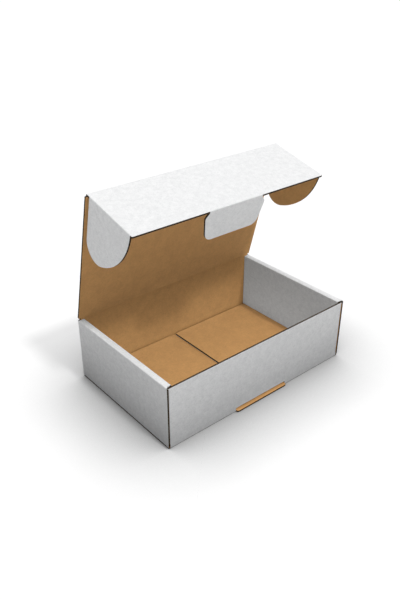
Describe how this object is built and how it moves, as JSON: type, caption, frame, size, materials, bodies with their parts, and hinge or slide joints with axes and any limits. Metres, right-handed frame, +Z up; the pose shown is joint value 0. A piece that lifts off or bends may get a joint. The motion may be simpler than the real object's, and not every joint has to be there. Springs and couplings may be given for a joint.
{
  "type": "corrugated mailer box",
  "caption": "Die-cut corrugated mailer box, white outside and brown kraft inside, with a hinged lid, front flap, two rounded ears and a lock tab.",
  "frame": {"origin": "middle of the tray's underside, halfway between its sides and between its front and back faces", "axes": "+X to the right seen from the front, +Y from the front to the back, +Z up"},
  "size_m": [0.21, 0.1336, 0.1908],
  "materials": {
    "board": "matte white liner outside, brown kraft liner inside, fluted edges"
  },
  "bodies": {
    "tray": {"tray": "board"},
    "lid": {"lid": "board"},
    "front_flap": {"front_flap": "board"},
    "left_ear": {"left_ear": "board"},
    "right_ear": {"right_ear": "board"},
    "lock_tab": {"lock_tab": "board"}
  },
  "joints": [
    {"name": "lid_hinge", "type": "hinge", "parent": "tray", "child": "lid", "pos_m": [0, 0.0647, 0.0628], "axis": [-1, 0, 0], "range_deg": [-45, 104.6]},
    {"name": "flap_fold", "type": "hinge", "parent": "lid", "child": "front_flap", "pos_m": [0, 0.0316, 0.18986], "axis": [1, 0, 0], "range_deg": [-90, 2]},
    {"name": "left_ear_fold", "type": "hinge", "parent": "front_flap", "child": "left_ear", "pos_m": [-0.1027, 0.0316, 0.18986], "axis": [0, -0.9677, -0.2521], "range_deg": [-90, 10]},
    {"name": "right_ear_fold", "type": "hinge", "parent": "front_flap", "child": "right_ear", "pos_m": [0.1027, 0.0316, 0.18986], "axis": [0, 0.9677, 0.2521], "range_deg": [-90, 10]},
    {"name": "tab_fold", "type": "hinge", "parent": "front_flap", "child": "lock_tab", "pos_m": [0, -0.02646, 0.17474], "axis": [1, 0, 0], "range_deg": [-90, 10]}
  ]
}
